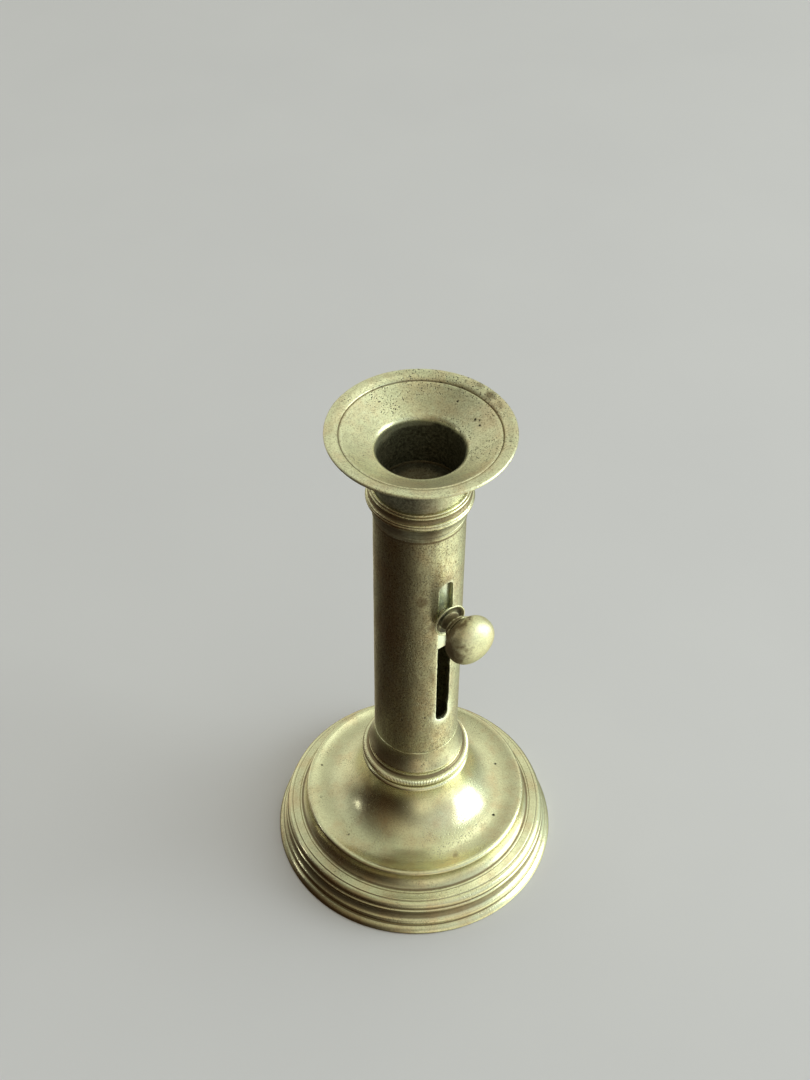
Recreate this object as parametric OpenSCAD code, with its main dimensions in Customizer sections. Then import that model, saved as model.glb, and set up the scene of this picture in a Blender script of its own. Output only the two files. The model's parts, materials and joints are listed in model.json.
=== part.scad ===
// Brass push-up candlestick. A knob beside the slotted stem slides the candle seat up and down.
// Origin: centre of the foot's underside. +Z is up, and the slot looks towards -Y, turned to +X.

/* [Foot] */
// Radius of the foot's rim
foot_r = 45.6; // [44:0.1:47]
// Height of the raised lip round the foot's top
lip_z = 19.7; // [19:0.1:21]
// Radius of the foot's neck, where the trumpet curve ends
neck_r = 15.5; // [15:0.1:16]
// Height of the foot's neck, where the milled ring sits
neck_z = 39.6; // [38.6:0.1:40.2]
// Wall of the hollow foot
foot_wall = 2.4; // [2:0.1:2.8]

/* [Stem] */
// Outer radius of the stem tube
tube_r = 13.1; // [12.9:0.05:13.2]
// Wall of the stem tube
tube_wall = 1.3; // [1.2:0.05:1.4]
// Top end of the stem tube, inside the moulded collar
tube_top_z = 152.4; // [152.2:0.1:153]

/* [Slot] */
// Angle of the slot and knob, from -Y towards +X
slot_angle = 37.2; // [0:0.1:90]
// Width of the slot
slot_w = 4.6; // [4.4:0.1:5]
// Bottom end of the slot
slot_bottom_z = 66; // [64:0.5:70]
// Top end of the slot
slot_top_z = 126.3; // [122:0.1:130]

/* [Drip pan] */
// Radius of the drip pan's rim
pan_r = 26; // [25.6:0.1:27]
// Height of the drip pan's rim, which is the overall height
pan_z = 174.1; // [173.5:0.1:175]
// Radius of the candle socket's wall
socket_r = 12; // [11.9:0.05:12.1]

/* [Pusher] */
// Height of the stud and knob at rest
stud_z = 112.5; // [100:0.1:120]
// Radius of the stud through the slot
stud_r = 1.9; // [1.7:0.05:2]
// Radial play between the pusher sleeve and the stem's bore
sleeve_play = 0.08; // [0.04:0.01:0.1]
// Wall of the pusher sleeve
sleeve_wall = 0.8; // [0.7:0.05:0.9]

/* [Knob] */
// Radius of the flattened ball
ball_r = 7.7; // [7:0.1:8]
// Half of the flattened ball's thickness
ball_half = 4.8; // [4.6:0.1:5.2]
// Radius of the cupped washer's rim
washer_r = 5.4; // [5:0.1:5.8]

/* [Hidden] */
$fn = 96;

brass = [0.74, 0.70, 0.47];
dark_brass = [0.45, 0.39, 0.22];

// Foot: the ledge above the bead, the cavetto above the ledge, and the underside's steps
ledge_z = 12.9;
ledge_r = foot_r - 8.3;
lip_r = foot_r - 9.8;
dish_r = lip_r - 3.4;
dish_z = lip_z - 0.6;
hollow_r = foot_r - 4.4;
trumpet_r = 30.4;
trumpet_z = neck_z - 3;
web = 6;
web_z = neck_z - web;
spigot_r = 3.2;

// Stack at the stem's foot: milled ring, ferrule with its floor, and plug
ring_h = 4;
ring_z = neck_z + ring_h;
ferrule_spigot_r = 12.6;
ferrule_floor = 2;
ferrule_h = 8.9;
plug_z = ring_z + ferrule_floor;
plug_top_z = ring_z + 8.4;
washer_t = 1.5;
base_washer_r = 10;
nut_h = 5;
nut_w = 12;
nut_z = web_z - washer_t - nut_h;
bore_r = tube_r - tube_wall;

// Pusher: the sleeve reaches from below the stud to the candle seat
sleeve_r = bore_r - sleeve_play;
sleeve_in_r = sleeve_r - sleeve_wall;
sleeve_bottom_z = stud_z - 14.5;
sleeve_top_z = stud_z + 38.5;
seat_r = sleeve_r - 0.3;
seat_t = 1.2;
slit_w = 1.2;

// Distances of the knob's pieces from the stem's axis, out along the stud
stud_head_d = sleeve_in_r - 2.2;
washer_d = tube_r + 0.35;
cup_t = 0.75;
neck_d = washer_d + cup_t + 0.1;
ball_d = tube_r + 11.1;
stud_end_d = ball_d - 2.4;
thread_play = 0.05;

// Points of a circular bow from p to q. A positive rise swells to the right of the direction of
// travel, and a negative one hollows. Outlines run anticlockwise, so a positive rise adds metal.
function bow(p, q, rise, n = 8) =
    let (c = norm(q - p), mid = (p + q) / 2, along = (q - p) / c, side = [along[1], -along[0]] * sign(rise),
         r = (c * c / 4 + rise * rise) / (2 * abs(rise)), half = 2 * atan(2 * abs(rise) / c))
    [for (i = [0:n]) let (a = half * (2 * i / n - 1))
        mid + side * (r * cos(a) - r + abs(rise)) + along * (r * sin(a))];

// Points of a quarter ellipse about centre, from angle a0 to a1
function ellipse_arc(centre, rx, rz, a0, a1, n = 16) =
    [for (i = [0:n]) let (a = a0 + (a1 - a0) * i / n) centre + [rx * cos(a), rz * sin(a)]];

// Points of one side of the flattened ball, a rounder-than-elliptic curve, from angle a0 to its pole
function ball_curve(a0, n = 24, roundness = 2.3) =
    [for (i = [0:n]) let (a = a0 + (90 - a0) * i / n)
        [ball_r * pow(cos(a), 2 / roundness),
         ball_d + ball_half * sign(sin(a)) * pow(abs(sin(a)), 2 / roundness)]];

// Turns a shape about the stem's axis to the slot, its own Z pointing out along the stud
module along_stud() {
    translate([0, 0, stud_z]) rotate([0, 0, slot_angle]) rotate([90, 0, 0]) children();
}

// Outline of the foot from the rim's underside up the mouldings to the ledge
function foot_outside() = concat(
    [[hollow_r, 0]],
    bow([foot_r - 0.5, 0], [foot_r, 0.6], 0.15, 4),
    bow([foot_r, 0.7], [foot_r - 1.6, 2.7], 0.3, 6),
    [[foot_r - 1.9, 2.9], [foot_r - 1.6, 3.1]],
    bow([foot_r - 1.55, 3.3], [foot_r - 1.75, 4.9], 0.22, 5),
    bow([foot_r - 1.8, 5.1], [foot_r - 2.6, 8.6], -0.75, 10),
    [[foot_r - 2.6, 9.2], [foot_r - 3.2, 9.6]],
    bow([foot_r - 3.1, 9.9], [foot_r - 4.6, 11.9], 0.5, 8),
    [[foot_r - 4.9, 11.9], [foot_r - 5, 12.1]],
    bow([ledge_r + 3.2, 12.2], [ledge_r, ledge_z], -0.1, 4));

// Outline of the foot's top: cavetto, raised lip, dished top, trumpet-shaped neck and a bead at its end
function foot_top() = concat(
    bow([ledge_r, ledge_z + 0.1], [lip_r, lip_z - 0.9], -0.85, 10),
    bow([lip_r, lip_z - 0.8], [lip_r - 1.4, lip_z], 0.35, 6),
    bow([lip_r - 1.6, lip_z], [dish_r, dish_z], 0.05, 4),
    ellipse_arc([trumpet_r, trumpet_z], trumpet_r - neck_r, trumpet_z - dish_z, 270, 180, 20),
    bow([neck_r + 0.5, neck_z - 3], [neck_r + 0.5, neck_z - 0.7], 1.14, 10),
    [[neck_r + 0.2, neck_z - 0.5], [neck_r + 0.2, neck_z]]);

// Outline of the foot's hollow underside, from the web's hole back down to the rim
function foot_inside() = concat(
    [[spigot_r + 0.1, neck_z], [spigot_r + 0.1, web_z], [base_washer_r + 1, web_z]],
    ellipse_arc([trumpet_r, trumpet_z], trumpet_r - neck_r + foot_wall, trumpet_z - dish_z + foot_wall,
                190, 270),
    [[lip_r - 2.8, dish_z - foot_wall], [ledge_r - 2.9, ledge_z - foot_wall - 0.4],
     [hollow_r - 2.2, ledge_z - foot_wall - 1], [hollow_r, 7]]);

module base() {
    color(brass) rotate_extrude() polygon(concat(foot_outside(), foot_top(), foot_inside()));
}

// Bead between the foot's neck and the stem. Its fine milling is cut into the outermost curve.
module milled_ring() {
    color(brass) translate([0, 0, neck_z]) rotate_extrude() polygon(concat(
        [[ferrule_spigot_r, 0], [neck_r + 0.2, 0]],
        bow([neck_r + 0.45, 0.1], [neck_r + 0.35, 2.5], 1.19, 12),
        [[neck_r - 0.3, 2.8], [neck_r - 0.5, 3.2], [neck_r - 0.5, ring_h], [ferrule_spigot_r, ring_h]]));
}

// Socket for the stem's foot: a flared cup, with a spigot down through the milled ring
module stem_ferrule() {
    color(brass) rotate_extrude() polygon(concat(
        [[spigot_r, neck_z], [ferrule_spigot_r, neck_z], [ferrule_spigot_r, ring_z], [tube_r + 1.55, ring_z]],
        bow([tube_r + 1.7, ring_z + 0.2], [tube_r + 1.8, ring_z + 1.3], 0.1, 5),
        bow([tube_r + 1.65, ring_z + 1.6], [tube_r + 0.12, ring_z + ferrule_h], -0.42, 10),
        [[tube_r, ring_z + ferrule_h], [tube_r, plug_z], [spigot_r, plug_z]]));
}

// Plug in the stem's foot, with the threaded spigot that holds the stem to the foot
module stem_plug() {
    color(dark_brass) {
        translate([0, 0, plug_z]) cylinder(r = bore_r, h = plug_top_z - plug_z);
        translate([0, 0, nut_z - 1]) cylinder(r = spigot_r, h = plug_z - nut_z + 1);
    }
}

module base_washer() {
    color(dark_brass) translate([0, 0, web_z - washer_t]) difference() {
        cylinder(r = base_washer_r, h = washer_t);
        translate([0, 0, -1]) cylinder(r = spigot_r + 0.1, h = washer_t + 2);
    }
}

module base_nut() {
    color(dark_brass) translate([0, 0, nut_z]) difference() {
        translate([-nut_w / 2, -nut_w / 2, 0]) cube([nut_w, nut_w, nut_h]);
        translate([0, 0, -1]) cylinder(r = spigot_r, h = nut_h + 2);
    }
}

// Slot with round ends, cut through one wall of the stem from the axis outwards
module slot_cutter() {
    slot_r = slot_w / 2;
    rotate([0, 0, slot_angle]) {
        translate([-slot_r, -2 * tube_r, slot_bottom_z + slot_r])
            cube([slot_w, 2 * tube_r, slot_top_z - slot_bottom_z - slot_w]);
        for (z = [slot_bottom_z + slot_r, slot_top_z - slot_r])
            translate([0, 0, z]) rotate([90, 0, 0]) cylinder(r = slot_r, h = 2 * tube_r);
    }
}

module stem_tube() {
    color(brass) difference() {
        translate([0, 0, plug_z]) cylinder(r = tube_r, h = tube_top_z - plug_z);
        translate([0, 0, plug_z - 1]) cylinder(r = bore_r, h = tube_top_z - plug_z + 2);
        slot_cutter();
    }
}

// Moulded ring soldered over the joint between the stem and the drip pan's neck
module top_collar() {
    color(brass) translate([0, 0, tube_top_z]) rotate_extrude() polygon(concat(
        [[tube_r, -7.4], [tube_r + 0.25, -7.4], [tube_r + 0.25, -6.2], [tube_r + 0.1, -6]],
        bow([tube_r + 0.2, -5.8], [tube_r + 1.5, -1.8], -0.5, 8),
        bow([tube_r + 1.6, -1.7], [tube_r + 1.85, -0.5], 0.3, 6),
        [[tube_r + 1.7, -0.4]],
        bow([tube_r + 1.8, -0.3], [tube_r + 1.55, 0.3], 0.15, 4),
        bow([tube_r + 1.3, 0.4], [tube_r + 1.15, 2], -0.25, 6),
        bow([tube_r + 1.25, 2.1], [tube_r + 1.15, 2.6], 0.12, 4),
        [[tube_r + 0.8, 2.7]],
        bow([tube_r + 0.8, 2.8], [tube_r + 0.6, 3.3], 0.12, 4),
        [[tube_r, 3.4]]));
}

// Outline of the dish's upper face, from the rim in to the socket
function pan_top() = concat(
    bow([pan_r - 0.1, pan_z - 0.8], [pan_r - 0.5, pan_z], 0.25, 6),
    [[pan_r - 1.5, pan_z - 0.05]],
    bow([pan_r - 1.7, pan_z - 0.1], [pan_r - 3.7, pan_z - 0.85], 0.12, 6),
    [[pan_r - 3.9, pan_z - 1.25], [pan_r - 4.2, pan_z - 1.1]],
    bow([pan_r - 4.5, pan_z - 1.1], [socket_r + 2, pan_z - 5.3], -0.1, 5),
    bow([socket_r + 1.8, pan_z - 5.4], [socket_r, pan_z - 7.5], 0.45, 8));

// Outline of the neck and of the dish's underside, from the socket's foot out to the rim
function pan_underside() = concat(
    [[socket_r, tube_top_z], [tube_r, tube_top_z]],
    bow([tube_r, pan_z - 10.5], [tube_r + 2.4, pan_z - 6.1], -0.7, 8),
    bow([tube_r + 2.6, pan_z - 6], [pan_r - 3.4, pan_z - 1.95], 0.1, 5),
    [[pan_r - 1.2, pan_z - 1.25]]);

module drip_pan() {
    color(brass) rotate_extrude() polygon(concat(pan_underside(), pan_top()));
}

// Spring sleeve that slides in the stem's bore: split up the back, and drilled for the stud
module pusher_sleeve() {
    slit_h = sleeve_top_z - sleeve_bottom_z - 8;
    color(dark_brass) difference() {
        rotate_extrude() polygon([[sleeve_in_r, sleeve_bottom_z], [sleeve_r, sleeve_bottom_z],
                                  [sleeve_r, sleeve_top_z], [sleeve_in_r, sleeve_top_z]]);
        rotate([0, 0, slot_angle]) translate([-slit_w / 2, 0, sleeve_bottom_z - 1])
            cube([slit_w, 2 * sleeve_r, slit_h + 1]);
        along_stud() cylinder(r = stud_r, h = 2 * sleeve_r);
    }
}

// Disc that the candle stands on, let into the sleeve's top
module candle_seat() {
    color(dark_brass) translate([0, 0, sleeve_top_z]) rotate_extrude() polygon(concat(
        [[0, -2], [sleeve_in_r, -2], [sleeve_in_r, 0], [seat_r, 0]],
        bow([seat_r, seat_t - 0.3], [seat_r - 0.3, seat_t], 0.08, 3),
        bow([seat_r - 0.8, seat_t], [0, seat_t - 0.4], -0.1, 6)));
}

// Stud: its head lies against the sleeve's inside, and its shank passes out through the slot
module slide_stud() {
    color(dark_brass) {
        intersection() {
            along_stud() translate([0, 0, stud_head_d]) cylinder(r = 3.4, h = 3);
            translate([0, 0, stud_z - 5]) cylinder(r = sleeve_in_r, h = 10);
        }
        along_stud() translate([0, 0, stud_head_d]) cylinder(r = stud_r, h = stud_end_d - stud_head_d);
    }
}

// Cupped washer between the stem and the knob, hollow side outwards
module knob_washer() {
    color(brass) along_stud() translate([0, 0, washer_d]) rotate_extrude() polygon(concat(
        [[stud_r, cup_t], [stud_r, 0], [3.4, 0]],
        bow([3.6, 0.1], [washer_r, 1.5], 0.15, 6),
        bow([washer_r, 1.6], [washer_r - 0.45, 1.7], 0.12, 4),
        bow([washer_r - 0.6, 1.5], [3.5, cup_t], -0.15, 5)));
}

// Ringed neck and flattened ball, with a blind tapped hole for the stud
module knob() {
    hole_r = stud_r + thread_play;
    color(brass) along_stud() rotate_extrude() polygon(concat(
        [[hole_r, neck_d], [2.9, neck_d]],
        bow([3, neck_d + 0.2], [3, neck_d + 1], 0.2, 4),
        bow([2.8, neck_d + 1.1], [3.1, ball_d - 6.7], -0.2, 5),
        bow([3.6, ball_d - 6.6], [3.7, ball_d - 6], 0.15, 4),
        bow([3.4, ball_d - 5.8], [4.2, ball_d - 5.2], -0.1, 3),
        bow([4.5, ball_d - 5.1], [4.7, ball_d - 4.5], 0.15, 4),
        ball_curve(-62),
        [[0, stud_end_d + 0.4], [hole_r, stud_end_d + 0.2]]));
}

base();
milled_ring();
stem_ferrule();
stem_plug();
base_washer();
base_nut();
stem_tube();
top_collar();
drip_pan();
pusher_sleeve();
candle_seat();
slide_stud();
knob_washer();
knob();
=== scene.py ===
import json
import math

import bmesh
import bpy
import numpy as np
from mathutils import Matrix, Vector, noise


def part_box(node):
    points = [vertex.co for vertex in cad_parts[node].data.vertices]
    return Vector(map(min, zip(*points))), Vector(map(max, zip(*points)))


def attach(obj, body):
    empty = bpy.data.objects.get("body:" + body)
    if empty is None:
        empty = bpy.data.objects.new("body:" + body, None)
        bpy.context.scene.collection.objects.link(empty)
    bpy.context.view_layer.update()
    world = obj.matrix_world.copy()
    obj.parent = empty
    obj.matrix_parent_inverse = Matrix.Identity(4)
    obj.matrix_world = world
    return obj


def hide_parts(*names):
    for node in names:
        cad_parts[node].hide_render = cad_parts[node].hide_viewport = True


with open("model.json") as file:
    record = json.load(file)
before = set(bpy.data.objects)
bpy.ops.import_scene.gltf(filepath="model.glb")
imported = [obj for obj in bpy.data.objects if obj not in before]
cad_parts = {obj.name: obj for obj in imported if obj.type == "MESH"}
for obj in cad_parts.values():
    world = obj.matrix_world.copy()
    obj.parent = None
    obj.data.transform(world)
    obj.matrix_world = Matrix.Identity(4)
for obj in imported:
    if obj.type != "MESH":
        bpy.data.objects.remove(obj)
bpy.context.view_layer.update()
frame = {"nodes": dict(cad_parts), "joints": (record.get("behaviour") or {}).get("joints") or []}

# Lengths below are in millimetres, as on the CAD model's drawing. MM turns them into metres.
MM = 0.001


def low(node):
    """Height of a CAD node's lowest point, in mm."""
    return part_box(node)[0].z / MM


def high(node):
    """Height of a CAD node's highest point, in mm."""
    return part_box(node)[1].z / MM


def reach(node):
    """Outer radius of a turned CAD node, in mm."""
    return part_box(node)[1].x / MM


# ---------------------------------------------------------------- sizes, from the frame

foot_r = reach("base")
neck_z = high("base")
ring_z = high("milled_ring")
ferrule_top = high("stem_ferrule")
plug_z = low("stem_tube")
tube_top = high("stem_tube")
tube_r = reach("stem_tube")
pan_r = reach("drip_pan")
pan_z = high("drip_pan")
sleeve_r = reach("pusher_sleeve")
sleeve_top = low("candle_seat") + 2
stud_z = (low("knob") + high("knob")) / 2
ball_r = (high("knob") - low("knob")) / 2
washer_r = (high("knob_washer") - low("knob_washer")) / 2

knob_axis = Vector(next(j for j in frame["joints"] if j["name"] == "knob_turn")["axis"])
slot_angle = math.atan2(knob_axis.x, -knob_axis.y)

# ---------------------------------------------------------------- sizes of the mouldings

LIP_R = foot_r - 9.8
LIP_Z = 19.7
DISH_Z = LIP_Z - 0.6
LEDGE_R = foot_r - 8.3
LEDGE_Z = 12.9
NECK_R = 15.5
TRUMPET_R = 30.4
TRUMPET_Z = neck_z - 3
FOOT_WALL = 2.4
HOLLOW_R = foot_r - 4.4
WEB_Z = neck_z - 6
SPIGOT_R = 3.2
FERRULE_SPIGOT_R = 12.6
RING_H = ring_z - neck_z
SEGMENTS = 288  # points round a turned piece
RIBS = 216  # ribs round the milled ring
RIB_DEPTH = 0.24
BORE_R = tube_r - 1.3
COLLAR_LOW = low("top_collar")
SLOT_W = 4.6
SLOT_LOW = 66.0
SLOT_HIGH = 126.3
SLOT_STEP = 0.35  # how far the slot's right edge steps inwards near its bottom end
SLOT_STEP_TOP = SLOT_LOW + 7.7
STUD_ROOM = 0.04  # least room left between the stud and the slot's ragged edges
SOCKET_R = 12.0
SLEEVE_WALL = 0.8
SEAT_T = 1.2
STUD_R = 1.9
WASHER_D = tube_r + 0.35
WASHER_T = 0.75
KNOB_NECK_D = WASHER_D + WASHER_T + 0.1
BALL_D = tube_r + 11.1
BALL_HALF = 4.8
STUD_END_D = BALL_D - 2.4


# ---------------------------------------------------------------- outlines of turned pieces

def bow(p, q, rise, n=10):
    """Points of a circular bow from p to q. A positive rise swells to the right of travel, outwards."""
    p, q = np.array(p, float), np.array(q, float)
    chord = np.linalg.norm(q - p)
    along = (q - p) / chord
    side = np.array([along[1], -along[0]]) * np.sign(rise)
    r = (chord * chord / 4 + rise * rise) / (2 * abs(rise))
    half = 2 * math.atan(2 * abs(rise) / chord)
    a = half * (2 * np.arange(n + 1) / n - 1)
    swell = (r * np.cos(a) - r + abs(rise))[:, None]
    return ((p + q) / 2 + side * swell + along * (r * np.sin(a))[:, None]).tolist()


def ellipse_arc(centre, rx, rz, a0, a1, n=28):
    """Points of an ellipse about centre from angle a0 to a1, in degrees."""
    a = np.radians(np.linspace(a0, a1, n + 1))
    return np.stack([centre[0] + rx * np.cos(a), centre[1] + rz * np.sin(a)], -1).tolist()


def soften(outline, size=0.16, steps=4, limit=18):
    """Rounds each corner of a closed outline that turns by more than limit degrees, as wear does."""
    points = np.array(outline, float)
    out = []
    for before, here, after in zip(np.roll(points, 1, 0), points, np.roll(points, -1, 0)):
        a, b = before - here, after - here
        la, lb = np.linalg.norm(a), np.linalg.norm(b)
        turn = 180 - math.degrees(math.acos(np.clip(a @ b / (la * lb), -1, 1)))
        if turn < limit or here[0] < 1e-6:
            out.append(here)
            continue
        start = here + a / la * min(size, 0.4 * la)
        end = here + b / lb * min(size, 0.4 * lb)
        for t in np.linspace(0, 1, steps + 1):
            out.append((1 - t) ** 2 * start + 2 * t * (1 - t) * here + t * t * end)
    return np.array(out)


def densify(outline, longest=1.6):
    """Splits the long stretches of a closed outline, to give dents and shading points to work on."""
    out = []
    for here, after in zip(outline, np.roll(outline, -1, 0)):
        if here[0] < 1e-6 and after[0] < 1e-6:
            out.append(here)
            continue
        n = max(1, math.ceil(np.linalg.norm(after - here) / longest))
        out.extend(here + (after - here) * k / n for k in range(n))
    return np.array(out)


def lengths(outline):
    """Distance of each point along the outline, in mm."""
    steps = np.linalg.norm(np.diff(outline, axis=0), axis=1)
    return np.concatenate([[0], np.cumsum(steps)])


def relief(outline, span=1.1):
    """Shape of the outline near each point: above 0 in a groove, below 0 on an edge."""
    s = lengths(outline)
    total = s[-1] + np.linalg.norm(outline[0] - outline[-1])
    closed = np.vstack([outline, outline[:1]])
    marks = np.append(s, total)

    def at(x):
        x = np.mod(x, total)
        return np.stack([np.interp(x, marks, closed[:, k]) for k in (0, 1)], -1)

    near = np.linspace(-span, span, 23)
    tangent = at(s + 0.15) - at(s - 0.15)
    tangent /= np.linalg.norm(tangent, axis=1)[:, None]
    normal = np.stack([tangent[:, 1], -tangent[:, 0]], -1)
    around = at(s[:, None] + near[None, :]) - outline[:, None, :]
    return (around * normal[:, None, :]).sum(-1).mean(1) / span


# ---------------------------------------------------------------- meshes

def make_object(name, verts, faces, layers):
    """A smooth-shaded mesh object from points in mm, with its named per-point values."""
    mesh = bpy.data.meshes.new(name)
    mesh.from_pydata((np.asarray(verts) * MM).tolist(), [], faces)
    mesh.validate()
    for layer, values in layers.items():
        attribute = mesh.attributes.new(layer, "FLOAT", "POINT")
        attribute.data.foreach_set("value", np.asarray(values, np.float32))
    mesh.polygons.foreach_set("use_smooth", [True] * len(mesh.polygons))
    mesh.update()
    obj = bpy.data.objects.new(name, mesh)
    bpy.context.scene.collection.objects.link(obj)
    weighted = obj.modifiers.new("shading", "WEIGHTED_NORMAL")
    weighted.mode = "FACE_AREA"
    weighted.weight = 60
    return obj


def lathe(name, outline, segments=SEGMENTS, shape=None, soot_and_shade=None):
    """Turns a closed outline of (radius, height) about Z. shape moves its points: arrays of radius,
    height and angle in, radius and height out. The last argument gives the points' darkening from the same
    arrays: smoke stains and grime, with painted shade in recesses and on the side away from the light."""
    points = densify(soften(outline))
    s, groove = lengths(points), relief(points)
    angle = np.linspace(0, 2 * math.pi, segments, endpoint=False)
    r = np.repeat(points[:, :1], segments, 1)
    z = np.repeat(points[:, 1:], segments, 1)
    if shape:
        r, z = shape(r, z, np.broadcast_to(angle, r.shape))
    dark = soot_and_shade(r, z, angle[None, :]) if soot_and_shade else np.zeros(r.shape)
    verts, rows, layer_s, layer_g, layer_d = [], [], [], [], []
    for i, point in enumerate(points):
        if point[0] < 1e-6:
            rows.append([len(verts)] * segments)
            verts.append((0, 0, float(z[i].mean())))
            layer_s.append(s[i])
            layer_g.append(groove[i])
            layer_d.append(dark[i].mean())
            continue
        rows.append(list(range(len(verts), len(verts) + segments)))
        verts.extend(zip(r[i] * np.cos(angle), r[i] * np.sin(angle), z[i]))
        layer_s.extend([s[i]] * segments)
        layer_g.extend([groove[i]] * segments)
        layer_d.extend(dark[i])
    faces = []
    for lower, upper in zip(rows, rows[1:] + rows[:1]):
        if lower[0] == lower[1] and upper[0] == upper[1]:
            continue
        for j in range(segments):
            k = (j + 1) % segments
            face = [lower[j], lower[k], upper[k], upper[j]]
            faces.append(tuple(dict.fromkeys(face)))
    layers = {"turned": layer_s, "relief": layer_g}
    if soot_and_shade:
        layers["soot_and_shade"] = layer_d
    return make_object(name, verts, faces, layers)


def unevenness(seed, rough=0.05, size=9.0):
    """A shape for lathe(): the slow hand-made unevenness of a turned piece, a few hundredths of a mm."""
    def shape(r, z, angle):
        offset = np.empty_like(r)
        for index in np.ndindex(r.shape):
            a = angle[index]
            place = Vector((r[index] * math.cos(a), r[index] * math.sin(a), z[index])) / size
            offset[index] = noise.noise(place + Vector((seed, 0, 0)))
        return r + rough * offset, z
    return shape


def with_dents(shape, dents):
    """Adds dents to a shape, pressed in radially: (radius, height, angle in degrees, size, depth) each."""
    def dented(r, z, angle):
        r2, z2 = shape(r, z, angle)
        for dent_r, dent_z, turn, size, depth in dents:
            across = (np.mod(angle - math.radians(turn) + math.pi, 2 * math.pi) - math.pi) * dent_r
            far = (across ** 2 + (z - dent_z) ** 2 + (r - dent_r) ** 2) / size ** 2
            press = depth * np.clip(1 - far, 0, 1) ** 2
            r2 = r2 - press
        return r2, z2
    return dented


def unlit_side(angle, lit_azimuth=-38.0, width=60.0):
    """Painted shade round the stem: 0 on the side that the light falls on, and 1 round the rest of it."""
    away = np.abs(np.mod(angle - math.radians(lit_azimuth) + math.pi, 2 * math.pi) - math.pi)
    return np.clip(away / math.radians(width), 0, 1)


def rim_nicks(seed, r, z, count, size=0.7, depth=0.12):
    """Small nicks at random places round a rim."""
    rng = np.random.default_rng(seed)
    return [(r, z, rng.uniform(0, 360), size * rng.uniform(0.5, 1.5), depth * rng.uniform(0.3, 1.3))
            for _ in range(count)]


# ---------------------------------------------------------------- node trees

class Tree:
    """A short way to write a node tree. node() adds a node, feed() fills a socket, and each of the
    other methods adds one kind of node and gives back its output socket."""

    def __init__(self, tree):
        self.tree = tree

    def node(self, kind, inputs=(), **settings):
        made = self.tree.nodes.new(kind)
        for key, value in settings.items():
            setattr(made, key, value)
        for key, value in dict(inputs).items():
            self.feed(made.inputs[key], value)
        return made

    def feed(self, socket, value):
        if isinstance(value, bpy.types.NodeSocket):
            self.tree.links.new(value, socket)
        else:
            socket.default_value = value

    def math(self, operation, a, b=0.0, clamp=False):
        return self.node("ShaderNodeMath", {0: a, 1: b}, operation=operation, use_clamp=clamp).outputs[0]

    def vector(self, operation, a, b, output=0):
        return self.node("ShaderNodeVectorMath", {0: a, 1: b}, operation=operation).outputs[output]

    def scale(self, vector, factors):
        return self.vector("MULTIPLY", vector, factors)

    def noise(self, vector, scale, detail=3.0, roughness=0.55, distortion=0.0):
        inputs = {"Vector": vector, "Scale": scale, "Detail": detail, "Roughness": roughness,
                  "Distortion": distortion}
        return self.node("ShaderNodeTexNoise", inputs).outputs[0]

    def noise_1d(self, w, scale, detail=2.0):
        return self.node("ShaderNodeTexNoise", {"W": w, "Scale": scale, "Detail": detail},
                         noise_dimensions="1D").outputs[0]

    def remap(self, value, low_in, high_in, low_out=0.0, high_out=1.0):
        inputs = {0: value, 1: low_in, 2: high_in, 3: low_out, 4: high_out}
        return self.node("ShaderNodeMapRange", inputs, clamp=True).outputs[0]

    def mix(self, factor, a, b):
        made = self.node("ShaderNodeMix", data_type="RGBA")
        self.feed(made.inputs[0], factor)
        self.feed(made.inputs[6], a)
        self.feed(made.inputs[7], b)
        return made.outputs[2]

    def attribute(self, name):
        return self.node("ShaderNodeAttribute", attribute_name=name).outputs["Fac"]

    def bump(self, height, distance, normal=None):
        made = self.node("ShaderNodeBump", {"Height": height, "Distance": distance, "Strength": 1.0})
        if normal is not None:
            self.feed(made.inputs["Normal"], normal)
        return made.outputs[0]


def colour(r, g, b):
    return (r, g, b, 1.0)


CLEAN = colour(0.80, 0.785, 0.54)
POLISHED = colour(0.88, 0.89, 0.69)
WARM = colour(0.76, 0.63, 0.41)
BROWN = colour(0.135, 0.080, 0.036)
BLACK = colour(0.014, 0.010, 0.006)
SOOT_AND_SHADE = colour(0.030, 0.027, 0.013)
VERDIGRIS = colour(0.34, 0.46, 0.36)
FILED = colour(0.92, 0.96, 0.82)
PATINA = colour(0.90, 0.99, 0.88)
FLOOR_DARK = colour(0.63, 0.61, 0.70)
FLOOR_PALE = colour(0.65, 0.63, 0.72)
BACKDROP = colour(0.66, 0.68, 0.69)


def pit_mask(t, place, fine, scale, size, cluster):
    """Dark pits of one size, about 1/scale mm apart, in the clusters that the mask cluster allows."""
    cells = t.node("ShaderNodeTexVoronoi", {"Vector": place, "Scale": scale, "Randomness": 1.0})
    ragged = t.math("MULTIPLY", t.math("SUBTRACT", fine, 0.5), 0.35)
    ragged = t.math("ADD", cells.outputs["Distance"], ragged)
    return t.math("MULTIPLY", t.remap(ragged, size, size * 0.5), cluster)


def spot_mask(t, place, ragged, where, radius):
    """1 inside one ragged round spot, and 0 outside it."""
    away = t.vector("DISTANCE", place, where, "Value")
    away = t.math("ADD", away, t.math("MULTIPLY", t.math("SUBTRACT", ragged, 0.5), radius * 2.2))
    return t.remap(away, radius, radius * 0.35)


def on_round(radius, azimuth, z):
    """A place on a turned surface, with its azimuth in degrees from +X, -90 at the front."""
    a = math.radians(azimuth)
    return radius * math.cos(a), radius * math.sin(a), z


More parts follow.
